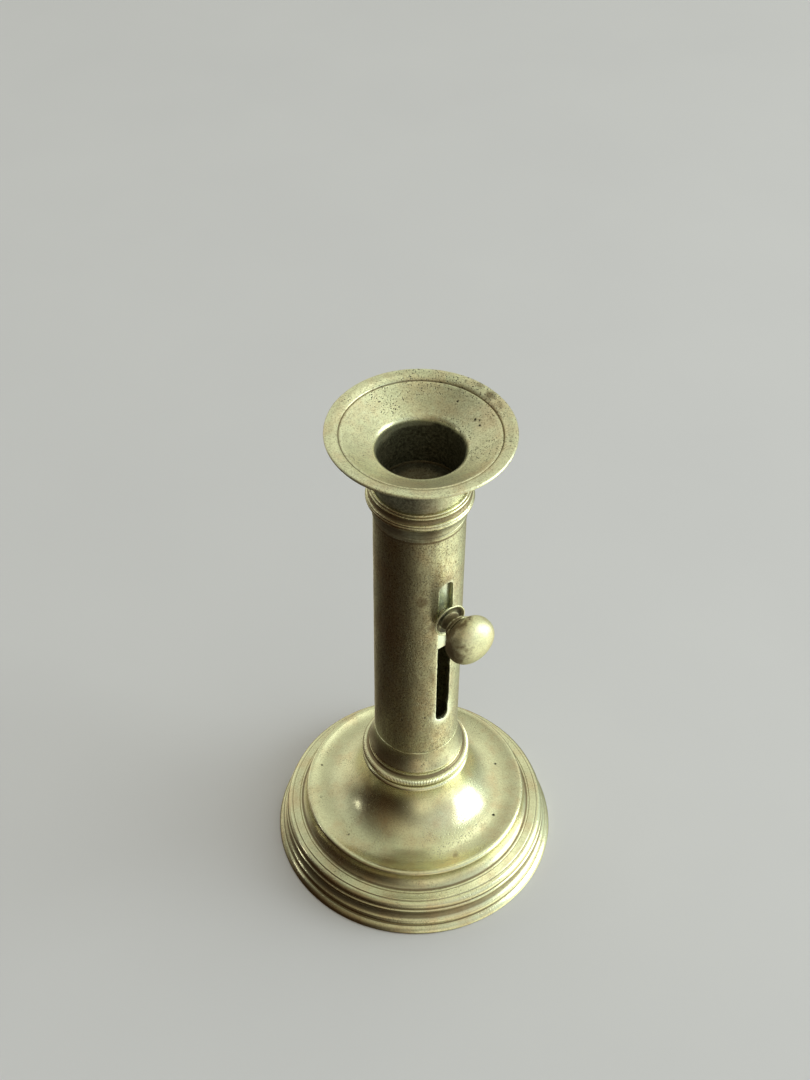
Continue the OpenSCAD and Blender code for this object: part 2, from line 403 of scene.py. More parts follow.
def brass(name, clean=CLEAN, tarnish=0.08, patches=0.2, mottle=0.2, pits=0.5, pit_side=None, lines=1.0,
          rough=(0.25, 0.42), grooves=1.6, green=0.0, grain=(1.0, 1.0, 1.0), speckle=0.35, etched=1.0,
          anisotropic=0.0, stains_and_shade=(), holes=(), metallic=1.0):
    """Old brass: clean metal, browner tarnish in patches and grooves, pits and specks, and lathe lines.

    Brown marks, some of which stand for painted shade, each have a place, a radius in mm and a strength.
    holes are single pits, each with its place and radius in mm. Places are in the piece's own axes, in mm.
    """
    material = bpy.data.materials.new(name)
    material.use_nodes = True
    t = Tree(material.node_tree)
    shader = material.node_tree.nodes["Principled BSDF"]

    place = t.scale(t.node("ShaderNodeTexCoord").outputs["Object"], (1 / MM,) * 3)
    grained = t.scale(place, grain)
    shape = t.attribute("relief")
    soot_and_shade = t.attribute("soot_and_shade")
    filed = t.attribute("filed")

    # Noises from the coarsest, with features of about 18 mm, to the finest, of about 0.5 mm
    large = t.noise(place, 0.055, 3.0)
    tint = t.noise(t.scale(place, (1.0, 1.0, 0.7)), 0.13, 3.0)
    medium = t.noise(grained, 0.33, 5.0, 0.62, 0.4)
    fine = t.noise(grained, 1.3, 4.0, 0.7)
    micro = t.noise(place, 2.2, 2.0, 0.6)
    turned = t.noise_1d(t.attribute("turned"), 2.3, 4.0)

    # Tarnish gathers in grooves and in soft patches, and edges are rubbed clean
    groove = t.remap(shape, 0.04, 0.18, 0.0, grooves)
    edge = t.remap(shape, -0.03, -0.22)
    wide, close = t.remap(large, 0.38, 0.70, 0.0, patches), t.remap(medium, 0.42, 0.74, 0.0, mottle)
    cloud = t.math("ADD", wide, close)
    stain_and_shade = t.math("ADD", t.math("ADD", cloud, groove), tarnish)
    # Single brown marks: real patches on some pieces, painted shade on others
    for where, radius, strength in stains_and_shade:
        mark = spot_mask(t, place, medium, where, radius)
        stain_and_shade = t.math("ADD", stain_and_shade, t.math("MULTIPLY", mark, strength))
    stain_and_shade = t.math("SUBTRACT", stain_and_shade, t.math("MULTIPLY", edge, 0.6))
    stain_and_shade = t.math("SUBTRACT", stain_and_shade, filed, clamp=True)

    # Tiny pits in clusters, larger ones in fewer places, and the single ones
    cluster = t.noise(place, 0.10, 2.0)
    if pit_side:
        side = t.vector("DOT_PRODUCT", place, pit_side, "Value")
        cluster = t.math("ADD", cluster, t.remap(side, -12.0, 18.0, -0.12, 0.10))
    tiny = pit_mask(t, place, fine, 1.5, 0.30, t.remap(cluster, 0.44, 0.56))
    small = pit_mask(t, place, fine, 0.75, 0.21, t.remap(cluster, 0.49, 0.60))
    pit = t.math("MULTIPLY", t.math("MAXIMUM", tiny, small), pits, clamp=True)
    for where, radius in holes:
        pit = t.math("MAXIMUM", pit, spot_mask(t, place, fine, where, radius))

    # Specks: the surface is finely etched all over, darker and lighter from grain to grain
    dark_speck = t.math("MULTIPLY", t.remap(micro, 0.47, 0.68), speckle)
    light_speck = t.math("MULTIPLY", t.remap(fine, 0.50, 0.32), speckle)

    tone = t.mix(t.math("MULTIPLY", t.remap(tint, 0.45, 0.66), 0.75), clean, WARM)
    tone = t.mix(light_speck, tone, POLISHED)
    tone = t.mix(t.math("MULTIPLY", stain_and_shade, 0.80), tone, BROWN)
    if green:
        moss = t.remap(t.math("ADD", large, t.math("MULTIPLY", fine, 0.15)), 0.48, 0.66)
        tone = t.mix(t.math("MULTIPLY", moss, green), tone, VERDIGRIS)
    tone = t.mix(dark_speck, tone, BROWN)
    tone = t.mix(t.math("MULTIPLY", filed, t.remap(fine, 0.30, 0.55, 0.45, 1.0)), tone, FILED)
    tone = t.mix(pit, tone, BLACK)
    # Darkening from each piece's own values: smoke stains and grime, and painted shade in recesses and on
    # the side away from the light
    sooty_and_shaded = t.math("MULTIPLY", soot_and_shade, t.remap(fine, 0.30, 0.62, 0.72, 1.0), clamp=True)
    tone = t.mix(sooty_and_shaded, tone, SOOT_AND_SHADE)

    wear = t.math("ADD", stain_and_shade, t.math("MULTIPLY", micro, 0.30))
    wear = t.math("ADD", wear, t.math("MULTIPLY", t.math("ADD", soot_and_shade, filed), 0.5))
    roughness = t.remap(wear, 0.1, 1.0, rough[0], rough[1])
    matt = t.math("ADD", t.math("MULTIPLY", stain_and_shade, 0.08), t.math("MULTIPLY", soot_and_shade, 0.45))
    metal = t.math("SUBTRACT", metallic, matt, clamp=True)

    normal = t.bump(turned, 0.010 * lines * MM)
    normal = t.bump(medium, 0.055 * etched * MM, normal)
    normal = t.bump(fine, 0.022 * etched * MM, normal)
    normal = t.bump(micro, 0.014 * etched * MM, normal)
    normal = t.bump(t.math("SUBTRACT", 1.0, pit), 0.08 * MM, normal)

    t.feed(shader.inputs["Base Color"], tone)
    t.feed(shader.inputs["Roughness"], roughness)
    t.feed(shader.inputs["Metallic"], metal)
    t.feed(shader.inputs["Normal"], normal)
    shader.inputs["Anisotropic"].default_value = anisotropic
    shader.inputs["Anisotropic Rotation"].default_value = 0.25
    if anisotropic:
        tangent = t.node("ShaderNodeTangent", direction_type="RADIAL", axis="Z").outputs[0]
        t.feed(shader.inputs["Tangent"], tangent)
    return material


def floor_material():
    """Pale, matt, slightly uneven studio floor."""
    material = bpy.data.materials.new("studio_floor")
    material.use_nodes = True
    t = Tree(material.node_tree)
    shader = material.node_tree.nodes["Principled BSDF"]
    place = t.node("ShaderNodeTexCoord").outputs["Object"]
    tint = t.remap(t.noise(place, 9.0, 3.0), 0.3, 0.7)
    t.feed(shader.inputs["Base Color"], t.mix(tint, FLOOR_DARK, FLOOR_PALE))
    shader.inputs["Roughness"].default_value = 0.75
    return material


def finish_piece(obj, material, body, slot, *nodes):
    """Gives a piece its material and body, and hides the CAD nodes that it stands for. The slot argument
    is not used.
    """
    obj.data.materials.append(material)
    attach(obj, body)
    if nodes:
        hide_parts(*nodes)


# ---------------------------------------------------------------- foot

def foot_outline():
    """Rim, scotia, bead, ledge, cavetto, lip, dish and trumpet neck, then back down the hollow inside."""
    return (
        [[HOLLOW_R, 0]]
        + bow([foot_r - 0.5, 0], [foot_r, 0.6], 0.15, 6)
        + bow([foot_r, 0.7], [foot_r - 1.6, 2.7], 0.3, 12)
        + [[foot_r - 1.9, 2.9], [foot_r - 1.6, 3.1]]
        + bow([foot_r - 1.55, 3.3], [foot_r - 1.75, 4.9], 0.22, 8)
        + bow([foot_r - 1.8, 5.1], [foot_r - 2.6, 8.6], -0.75, 16)
        + [[foot_r - 2.6, 9.2], [foot_r - 3.2, 9.6]]
        + bow([foot_r - 3.1, 9.9], [foot_r - 4.6, 11.9], 0.5, 16)
        + [[foot_r - 4.9, 11.9], [foot_r - 5, 12.1]]
        + bow([LEDGE_R + 3.2, 12.2], [LEDGE_R + 1.15, LEDGE_Z - 0.25], -0.04, 4)
        + [[LEDGE_R + 1.0, LEDGE_Z - 0.38], [LEDGE_R + 0.85, LEDGE_Z - 0.19], [LEDGE_R, LEDGE_Z]]
        + bow([LEDGE_R, LEDGE_Z + 0.1], [LIP_R, LIP_Z - 0.9], -0.85, 18)
        + bow([LIP_R, LIP_Z - 0.8], [LIP_R - 1.4, LIP_Z], 0.35, 10)
        + bow([LIP_R - 1.6, LIP_Z], [TRUMPET_R + 0.3, DISH_Z], -0.15, 12)
        + ellipse_arc([TRUMPET_R, TRUMPET_Z], TRUMPET_R - NECK_R, TRUMPET_Z - DISH_Z, 270, 180, 40)
        + bow([NECK_R + 0.5, neck_z - 3], [NECK_R + 0.5, neck_z - 0.7], 1.14, 14)
        + [[NECK_R + 0.2, neck_z - 0.5], [NECK_R + 0.2, neck_z], [SPIGOT_R + 0.1, neck_z],
           [SPIGOT_R + 0.1, WEB_Z], [reach("base_washer") + 1, WEB_Z]]
        + ellipse_arc([TRUMPET_R, TRUMPET_Z], TRUMPET_R - NECK_R + FOOT_WALL,
                      TRUMPET_Z - DISH_Z + FOOT_WALL, 190, 270, 24)
        + [[LIP_R - 2.8, DISH_Z - FOOT_WALL], [LEDGE_R - 2.9, LEDGE_Z - FOOT_WALL - 0.4],
           [HOLLOW_R - 2.2, LEDGE_Z - FOOT_WALL - 1], [HOLLOW_R, 7]]
    )


def make_foot(material):
    nicks = rim_nicks(3, foot_r, 1.2, 16) + rim_nicks(4, LIP_R, LIP_Z - 0.4, 9, 0.8, 0.10)
    obj = lathe("foot_casting", foot_outline(), 320, with_dents(unevenness(1.0, 0.06, 14.0), nicks))
    finish_piece(obj, material, "stand", "cast_brass", "base")


# ---------------------------------------------------------------- milled ring

def make_milled_ring(material):
    """Bead with fine ribs across it, deepest on its outermost curve."""
    outline = [[x, z + neck_z] for x, z in (
        [[FERRULE_SPIGOT_R, 0], [NECK_R + 0.2, 0]]
        + bow([NECK_R + 0.45, 0.1], [NECK_R + 0.35, 2.5], 1.19, 20)
        + [[NECK_R - 0.3, 2.8], [NECK_R - 0.5, 3.2], [NECK_R - 0.5, RING_H], [FERRULE_SPIGOT_R, RING_H]]
    )]

    def ribs(r, z, angle):
        worn = 0.75 + 0.25 * np.sin(angle * 3 + 1.0)
        outer = np.clip((r - (NECK_R + 0.6)) / 0.35, 0, 1)
        wave = 1 - np.abs(np.sin(angle * RIBS / 2))
        return r - RIB_DEPTH * worn * outer * wave, z

    obj = lathe("milled_bead", outline, RIBS * 6, ribs)
    finish_piece(obj, material, "stand", "cast_brass", "milled_ring")


# ---------------------------------------------------------------- stem

def make_ferrule(material):
    outline = (
        [[SPIGOT_R, neck_z], [FERRULE_SPIGOT_R, neck_z], [FERRULE_SPIGOT_R, ring_z],
         [tube_r + 1.55, ring_z]]
        + bow([tube_r + 1.7, ring_z + 0.2], [tube_r + 1.8, ring_z + 1.3], 0.1, 6)
        + bow([tube_r + 1.65, ring_z + 1.6], [tube_r + 0.12, ferrule_top], -0.42, 16)
        + [[tube_r, ferrule_top], [tube_r, plug_z], [SPIGOT_R, plug_z]]
    )
    smooth = unevenness(2.0, 0.04, 8.0)

    def worn_top(r, z, angle):
        """The thin top edge, drawn down unevenly where it was rubbed into the tube."""
        r2, z2 = smooth(r, z, angle)
        near = np.clip((z - ferrule_top + 1.6) / 1.6, 0, 1) * (r > tube_r + 0.02)
        wave = 0.35 * np.sin(2 * angle + 1.2) + 0.25 * np.sin(5 * angle)
        wave = wave + 0.15 * np.sin(11 * angle + 0.7)
        return r2, z2 + near * (wave - 0.75) * 0.5

    obj = lathe("stem_socket", outline, SEGMENTS, worn_top)
    finish_piece(obj, material, "stand", "cast_brass", "stem_ferrule")


def slot_rows():
    """Heights up the stem with the slot's half widths on each side there, its edges filed by hand."""
    half = SLOT_W / 2
    rows = [(z, 0.0, 0.0) for z in np.linspace(plug_z, SLOT_LOW - 4.5, 7)]
    rows += [(z, 0.0, 0.0) for z in np.arange(SLOT_LOW - 4.0, SLOT_LOW - 0.1, 0.4)]
    ends = 10
    for k in range(ends + 1):
        a = math.radians(90 * k / ends)
        rows.append((SLOT_LOW + half * (1 - math.cos(a)), half * math.sin(a), half * math.sin(a)))
    for z in np.arange(SLOT_LOW + half + 0.6, SLOT_HIGH - half - 0.3, 0.6):
        rows.append((z, half, half))
    for k in range(ends + 1):
        a = math.radians(90 * (ends - k) / ends)
        rows.append((SLOT_HIGH - half * (1 - math.cos(a)), half * math.sin(a), half * math.sin(a)))
    rows += [(z, 0.0, 0.0) for z in np.arange(SLOT_HIGH + 0.4, SLOT_HIGH + 3.0, 0.4)]
    rows += [(z, 0.0, 0.0) for z in np.linspace(SLOT_HIGH + 4.0, COLLAR_LOW - 2.0, 6)]
    rows += [(z, 0.0, 0.0) for z in np.linspace(COLLAR_LOW - 1.4, COLLAR_LOW + 0.6, 8)]
    rows += [(tube_top, 0.0, 0.0)]
    ragged = []
    for z, plus, minus in rows:
        if plus:
            fade = min(1.0, plus / half)
            narrow = SLOT_STEP * min(1.0, max(0.0, (SLOT_STEP_TOP - z) / 0.8))
            plus += fade * (0.22 * noise.noise(Vector((z * 0.75, 3.0, 0.0))) - narrow)
            minus += fade * 0.14 * noise.noise(Vector((z * 0.45, 9.0, 0.0)))
            if fade == 1.0:
                plus, minus = max(plus, STUD_R + STUD_ROOM), max(minus, STUD_R + STUD_ROOM)
        ragged.append((z, plus, minus))
    return ragged


def filed_near_slot(angle, z):
    """How brightly the tube is filed and rubbed round the slot, most of all at the slot's bottom end."""
    half = SLOT_W / 2
    across = tube_r * (math.remainder(angle, 2 * math.pi))
    beyond = z - min(max(z, SLOT_LOW + half), SLOT_HIGH - half)
    away = math.hypot(across, beyond) - half
    bottom = math.exp(-((z - SLOT_LOW) / 7.0) ** 2)
    return (0.35 + 0.65 * bottom) * math.exp(-(max(away, 0.0) / (0.6 + 0.9 * bottom)) ** 2)


def make_stem(material, columns=224, chamfer=0.16):
    """The stem tube as rings of points that run round the outside and back inside, open at the slot."""
    verts, turned, worn, filed, rings = [], [], [], [], []
    for z, plus, minus in slot_rows():
        # Grime and painted shade on the stem from just below the collar's lower edge upwards, added to the
        # edge wear values
        grime_and_shade = 0.20 * min(1.0, max(0.0, (z - COLLAR_LOW + 1.3) / 0.9))
        cut = chamfer if plus else 0.0
        ring = []

        def add(radius, angle, edge):
            a = slot_angle - math.pi / 2 + angle
            x, y = radius * math.cos(a), radius * math.sin(a)
            if radius > BORE_R + 0.1:
                bend = 0.035 * noise.noise(Vector((x, y, z)) / 9.0)
                x, y = x * (1 + bend / tube_r), y * (1 + bend / tube_r)
            ring.append(len(verts))
            verts.append((x, y, z))
            turned.append(z)
            worn.append(edge + grime_and_shade)
            filed.append(filed_near_slot(angle, z) if radius > BORE_R + 0.1 else 0.0)

        def at(half, radius):
            return math.asin(half / radius)

        full = 2 * math.pi
        edge = -0.3 if plus else 0.0
        add(BORE_R, at(plus, BORE_R), 0.0)
        add(tube_r - cut, at(plus, tube_r - cut), edge)
        start, end = at(plus + cut, tube_r), full - at(minus + cut, tube_r)
        for k in range(columns + 1):
            add(tube_r, start + (end - start) * k / columns, edge if k in (0, columns) else 0.0)
        add(tube_r - cut, full - at(minus, tube_r - cut), edge)
        inner_start, inner_end = at(plus, BORE_R), full - at(minus, BORE_R)
        for k in range(columns, 0, -1):
            add(BORE_R, inner_start + (inner_end - inner_start) * k / columns, 0.0)
        rings.append((ring, bool(plus)))
    faces = []
    walls = {0, 1, columns + 2, columns + 3}
    for (lower, low_open), (upper, high_open) in zip(rings, rings[1:]):
        count = len(lower)
        for k in range(count):
            if k in walls and not (low_open or high_open):
                continue
            n = (k + 1) % count
            faces.append((lower[k], lower[n], upper[n], upper[k]))
    outer = list(range(2, columns + 3))
    inner = [0] + list(range(len(rings[0][0]) - 1, columns + 3, -1))
    for ring, flip in ((rings[0][0], False), (rings[-1][0], True)):
        for k in range(columns):
            face = (ring[outer[k]], ring[inner[k]], ring[inner[k + 1]], ring[outer[k + 1]])
            faces.append(face[::-1] if flip else face)
    layers = {"turned": turned, "relief": worn, "filed": filed}
    obj = make_object("stem_tube_slotted", verts, faces, layers)
    weld(obj.data)
    finish_piece(obj, material, "stand", "tube_brass", "stem_tube")


def weld(mesh, distance=0.0005 * MM):
    """Joins points at the same place, and drops the faces that have no area left."""
    bm = bmesh.new()
    bm.from_mesh(mesh)
    bmesh.ops.remove_doubles(bm, verts=bm.verts, dist=distance)
    bmesh.ops.dissolve_degenerate(bm, edges=bm.edges, dist=distance)
    bmesh.ops.recalc_face_normals(bm, faces=bm.faces)
    bm.to_mesh(mesh)
    bm.free()
    mesh.update()


def make_collar(material):
    z0 = tube_top
    outline = [[tube_r + x, z0 + z] for x, z in (
        [[0, -7.4], [0.25, -7.4], [0.25, -6.2], [0.1, -6]]
        + bow([0.2, -5.8], [1.5, -1.8], -0.5, 12)
        + bow([1.6, -1.7], [1.85, -0.5], 0.3, 8)
        + [[1.7, -0.4]]
        + bow([1.8, -0.3], [1.55, 0.3], 0.15, 5)
        + bow([1.3, 0.4], [1.15, 2], -0.25, 8)
        + bow([1.25, 2.1], [1.15, 2.6], 0.12, 5)
        + [[0.8, 2.7]]
        + bow([0.8, 2.8], [0.6, 3.3], 0.12, 5)
        + [[0, 3.4]]
    )]
    dents = rim_nicks(11, tube_r + 1.9, z0 - 1.0, 8, 0.8, 0.10)

    def grime_and_shade_under_bead(r, z, angle):
        # Grime below the bead, and painted shade there, strongest on the side away from the light
        band = np.clip((z0 - 1.9 - z) / 0.8, 0, 1) * np.clip((z - z0 + 7.6) / 1.5, 0.4, 1)
        return 0.60 * band * (0.25 + 0.75 * unlit_side(angle))

    shape = with_dents(unevenness(3.0, 0.04, 6.0), dents)
    obj = lathe("collar_moulding", outline, SEGMENTS, shape, grime_and_shade_under_bead)
    finish_piece(obj, material, "stand", "cast_brass", "top_collar")


# ---------------------------------------------------------------- drip pan

def pan_outline():
    return (
        [[SOCKET_R, tube_top], [tube_r, tube_top]]
        + bow([tube_r, pan_z - 10.5], [tube_r + 2.4, pan_z - 6.1], -0.7, 12)
        + bow([tube_r + 2.6, pan_z - 6], [pan_r - 3.4, pan_z - 1.95], 0.1, 6)
        + [[pan_r - 1.2, pan_z - 1.25]]
        + bow([pan_r - 0.1, pan_z - 0.8], [pan_r - 0.5, pan_z], 0.25, 8)
        + [[pan_r - 1.5, pan_z - 0.05]]
        + bow([pan_r - 1.7, pan_z - 0.1], [pan_r - 3.7, pan_z - 0.85], 0.12, 8)
        + [[pan_r - 3.9, pan_z - 1.25], [pan_r - 4.2, pan_z - 1.1]]
        + bow([pan_r - 4.5, pan_z - 1.1], [SOCKET_R + 2, pan_z - 5.3], -0.1, 8)
        + bow([SOCKET_R + 1.8, pan_z - 5.4], [SOCKET_R, pan_z - 7.5], 0.45, 12)
    )


def make_pan(material):
    """The pan, a little out of true at its rim, with nicks round the rim."""
    smooth = unevenness(4.0, 0.06, 8.0)
    true_r = 16  # the pan keeps its true shape within this radius
    groove_r = pan_r - 3.9  # the turned groove inside the rim
    lit_inside = math.radians(150)  # where the light falls on the socket's inside wall

    def bent(r, z, angle):
        r2, z2 = smooth(r, z, angle)
        rim = np.clip((r - true_r) / (pan_r - true_r), 0, 1) ** 2
        wave = 0.10 * np.sin(2 * angle + 0.6) + 0.05 * np.sin(3 * angle + 2.0)
        wave = wave + 0.16 * np.sin(angle - 0.5)
        crease = np.exp(-((r - groove_r) / 0.45) ** 2)
        crease = crease * np.clip(np.cos(angle - math.radians(50)), 0, 1)
        return r2 + rim * 0.5 * wave, z2 + rim * wave - 0.20 * crease * (z > pan_z - 1.6)

    def socket_soot_and_shade(r, z, angle):
        """Candle smoke stains and painted shade down the socket, and painted shade on the neck under the
        pan away from the light. Inside, the darkening starts lower on the left, where light falls on the
        socket's wall.
        """
        lit_part = 0.5 + 0.5 * np.cos(angle - lit_inside)
        start = pan_z - 5.9 - 2.4 * lit_part ** 2
        start = start + 0.25 * np.sin(7 * angle) + 0.15 * np.sin(17 * angle)
        inside = (r < SOCKET_R + 0.6) | ((z > pan_z - 8) & (r < SOCKET_R + 2.1))
        outside = (r >= SOCKET_R + 0.6) & (z < pan_z - 8)
        return np.clip((start - z) / 1.1, 0, 1) * inside + 0.92 * unlit_side(angle) * outside

    nicks = rim_nicks(21, pan_r, pan_z - 0.4, 18, 0.7, 0.14)
    obj = lathe("pan_with_socket", pan_outline(), SEGMENTS, with_dents(bent, nicks), socket_soot_and_shade)
    finish_piece(obj, material, "stand", "pan_brass", "drip_pan")


# ---------------------------------------------------------------- knob and its washer

def along_stud(obj):
    """Turns a piece about the stem's axis to the slot, its own Z pointing out along the stud."""
    obj.matrix_world = (Matrix.Translation((0, 0, stud_z * MM)) @ Matrix.Rotation(slot_angle, 4, "Z")
                        @ Matrix.Rotation(math.pi / 2, 4, "X"))


def ball_curve(a0, n=36, roundness=2.3):
    """The flattened ball's outline from angle a0 in degrees, where it leaves the neck, to its crown."""
    a = np.radians(np.linspace(a0, 90, n + 1))
    x = ball_r * np.maximum(np.cos(a), 0) ** (2 / roundness)
    x[-1] = 0
    d = BALL_D + BALL_HALF * np.sign(np.sin(a)) * np.abs(np.sin(a)) ** (2 / roundness)
    return np.stack([x, d], -1).tolist()


def make_knob(material):
    hole = STUD_R + 0.05
    d = KNOB_NECK_D
    outline = (
        [[hole, d], [2.9, d]]
        + bow([3, d + 0.2], [3, d + 1], 0.2, 5)
        + bow([2.8, d + 1.1], [3.1, BALL_D - 6.7], -0.2, 7)
        + bow([3.6, BALL_D - 6.6], [3.7, BALL_D - 6], 0.15, 5)
        + bow([3.4, BALL_D - 5.8], [4.2, BALL_D - 5.2], -0.1, 4)
        + bow([4.5, BALL_D - 5.1], [4.7, BALL_D - 4.5], 0.15, 5)
        + ball_curve(-62)
        + [[0, STUD_END_D + 0.4], [hole, STUD_END_D + 0.2]]
    )

    def grime_and_shade_in_neck(r, z, angle):
        # Grime and painted shade on the neck between the washer and the ball, patchy round it
        patchy = 0.55 + 0.45 * np.sin(2 * angle + 2.0)
        return 0.5 * patchy * np.clip((BALL_D - 5.6 - z) / 2.5, 0, 1) * (r > hole + 0.1)

    obj = lathe("knob_turned", outline, 144, unevenness(5.0, 0.03, 4.0), grime_and_shade_in_neck)
    along_stud(obj)
    finish_piece(obj, material, "knob", "knob_brass", "knob")


def make_washer(material):
    outline = [[x, d + WASHER_D] for x, d in (
        [[STUD_R, WASHER_T], [STUD_R, 0], [3.4, 0]]
        + bow([3.6, 0.1], [washer_r, 1.5], 0.15, 8)
        + bow([washer_r, 1.6], [washer_r - 0.45, 1.7], 0.12, 5)
        + bow([washer_r - 0.6, 1.5], [3.5, WASHER_T], -0.15, 7)
    )]

    def grime_and_shade_in_cup(r, z, angle):
        # Dirt and painted shade inside the cup, under the knob's ball, patchy round it
        patchy = 0.5 + 0.35 * np.sin(3 * angle + 1.0) + 0.15 * np.sin(8 * angle)
        inside = z > WASHER_D + 0.45 + 0.62 * np.clip(r - 3.5, 0, 1.6)
        return patchy * inside * np.clip((washer_r - 0.55 - r) / 0.6, 0, 1)

    obj = lathe("cupped_washer", outline, 128, unevenness(6.0, 0.08, 2.0), grime_and_shade_in_cup)
    along_stud(obj)
    finish_piece(obj, material, "pusher", "knob_brass", "knob_washer")


# ---------------------------------------------------------------- pusher inside the stem

def make_seat(material):
    seat_r = sleeve_r - 0.3
    inner = sleeve_r - SLEEVE_WALL
    z0 = sleeve_top
    outline = (
        [[0, z0 - 2], [inner, z0 - 2], [inner, z0], [seat_r, z0]]
        + bow([seat_r, z0 + SEAT_T - 0.3], [seat_r - 0.3, z0 + SEAT_T], 0.08, 4)
        + bow([seat_r - 0.8, z0 + SEAT_T], [0, z0 + SEAT_T - 0.4], -0.1, 12)
    )

    def soot_and_shade_at_edge(r, z, angle):
        # Smoke stains over the seat, and painted shade darkening it towards its edge against the socket
        # wall
        return 0.15 + 0.85 * np.clip((r - 8.0 + 0.5 * np.sin(3 * angle)) / 1.8, 0, 1)

    obj = lathe("seat_disc", outline, 192, unevenness(7.0, 0.10, 2.0), soot_and_shade_at_edge)
    finish_piece(obj, material, "pusher", "hidden_brass", "candle_seat")


def carry(node, material):
    """A CAD node that stays as it is, with its own material."""
    obj = frame["nodes"][node]
    obj.data.materials.clear()
    obj.data.materials.append(material)


# ---------------------------------------------------------------- studio

FLOOR_R = 3.5  # metres
FLOOR_POINTS = 96


def make_floor():
    """A wide pale disc. It isn't seen in the metal, so that the brass keeps its contrast."""
    turn = np.linspace(0, 2 * math.pi, FLOOR_POINTS, endpoint=False)
    rim = [(FLOOR_R * math.cos(a), FLOOR_R * math.sin(a), 0.0) for a in turn]
    mesh = bpy.data.meshes.new("studio_floor")
    mesh.from_pydata(rim, [], [tuple(range(len(rim)))])
    obj = bpy.data.objects.new("studio_floor", mesh)
    bpy.context.scene.collection.objects.link(obj)
    obj.data.materials.append(floor_material())
    obj.visible_glossy = False


def make_light(name, place, target, size, watts, tint):
    """A rectangular light that faces its target."""
    data = bpy.data.lights.new(name, "AREA")
    data.shape = "RECTANGLE"
    data.size, data.size_y = size
    data.energy = watts
    data.color = tint
    obj = bpy.data.objects.new(name, data)
    bpy.context.scene.collection.objects.link(obj)
    obj.location = place
    obj.rotation_euler = (Vector(target) - Vector(place)).to_track_quat("-Z", "Y").to_euler()


# A large window-like light on the right, and a small one far to the left, in metres and watts
WINDOW = {"place": (1.32, -0.03, 0.42), "target": (0, 0, 0.08), "size": (0.95, 1.3), "watts": 12.5,
          "tint": (0.92, 1.0, 0.88)}
LEFT_LAMP = {"place": (-1.10, 0.06, 0.50), "target": (0, 0, 0.05), "size": (0.08, 0.13), "watts": 0.25,
             "tint": (1.0, 1.0, 0.88)}


# Soft glows that surround the object: azimuth from +X towards +Y and elevation, both in degrees,
# sharpness, and colour
GLOWS = (
    (0, 75, 6.0, (0.80, 0.85, 0.64)),
    (88, 38, 6.0, (0.36, 0.38, 0.32)),
    (50, 25, 9.0, (0.66, 0.69, 0.55)),
    (127, 26, 12.0, (0.36, 0.37, 0.30)),
    (92, -43, 25.0, (1.15, 1.08, 0.76)),
    (150, 42, 14.0, (0.46, 0.49, 0.42)),
    (0, 8, 7.0, (0.95, 1.18, 1.18)),
    (335, -35, 9.0, (1.30, 1.30, 0.98)),
    (315, 25, 7.0, (0.62, 0.69, 0.65)),
    (15, -35, 9.0, (0.80, 0.88, 0.65)),
    (285, -12, 15.0, (0.84, 0.79, 0.58)),
    (270, 42, 12.0, (0.42, 0.39, 0.28)),
    (230, 32, 10.0, (0.14, 0.11, 0.065)),
    (152, -12, 26.0, (0.34, 0.32, 0.24)),
    (132, 1, 14.0, (0.66, 0.64, 0.50)),
    (90, 8, 12.0, (0.48, 0.49, 0.39)),
    (38, 64, 60.0, (1.10, 1.16, 1.05)),
)
GLOOM = (0.020, 0.009, 0.003)


def make_world():
    """Studio surroundings for the reflections: the glows, gloom between them, and a plain backdrop."""
    world = bpy.data.worlds.new("studio")
    world.use_nodes = True
    bpy.context.scene.world = world
    t = Tree(world.node_tree)
    background = world.node_tree.nodes["Background"]
    output = world.node_tree.nodes["World Output"]
    view = t.node("ShaderNodeTexCoord").outputs["Generated"]
    light = None
    for azimuth, elevation, sharpness, tint in GLOWS:
        a, e = math.radians(azimuth), math.radians(elevation)
        towards = (math.cos(e) * math.cos(a), math.cos(e) * math.sin(a), math.sin(e))
        near = t.vector("DOT_PRODUCT", view, towards, "Value")
        glow = t.math("EXPONENT", t.math("MULTIPLY", t.math("SUBTRACT", near, 1.0), sharpness))
        spread = t.node("ShaderNodeVectorMath", {0: tint, "Scale": glow}, operation="SCALE").outputs[0]
        light = spread if light is None else t.vector("ADD", light, spread)
    light = t.vector("ADD", light, GLOOM)
    t.feed(background.inputs["Color"], light)
    backdrop = t.node("ShaderNodeBackground", {"Color": BACKDROP, "Strength": 1.0}).outputs[0]
    seen = t.node("ShaderNodeLightPath").outputs["Is Camera Ray"]
    both = t.node("ShaderNodeMixShader", {0: seen, 1: background.outputs[0], 2: backdrop}).outputs[0]
    t.feed(output.inputs["Surface"], both)
    bpy.context.scene.view_settings.view_transform = "Standard"


# The photograph's viewpoint, in mm, degrees, and mm of lens
CAMERA_PLACE = (-4.0, -325.0, 456.3)
CAMERA_PITCH = 44.85
CAMERA_ROLL = 0.52
CAMERA_LENS = 54.07


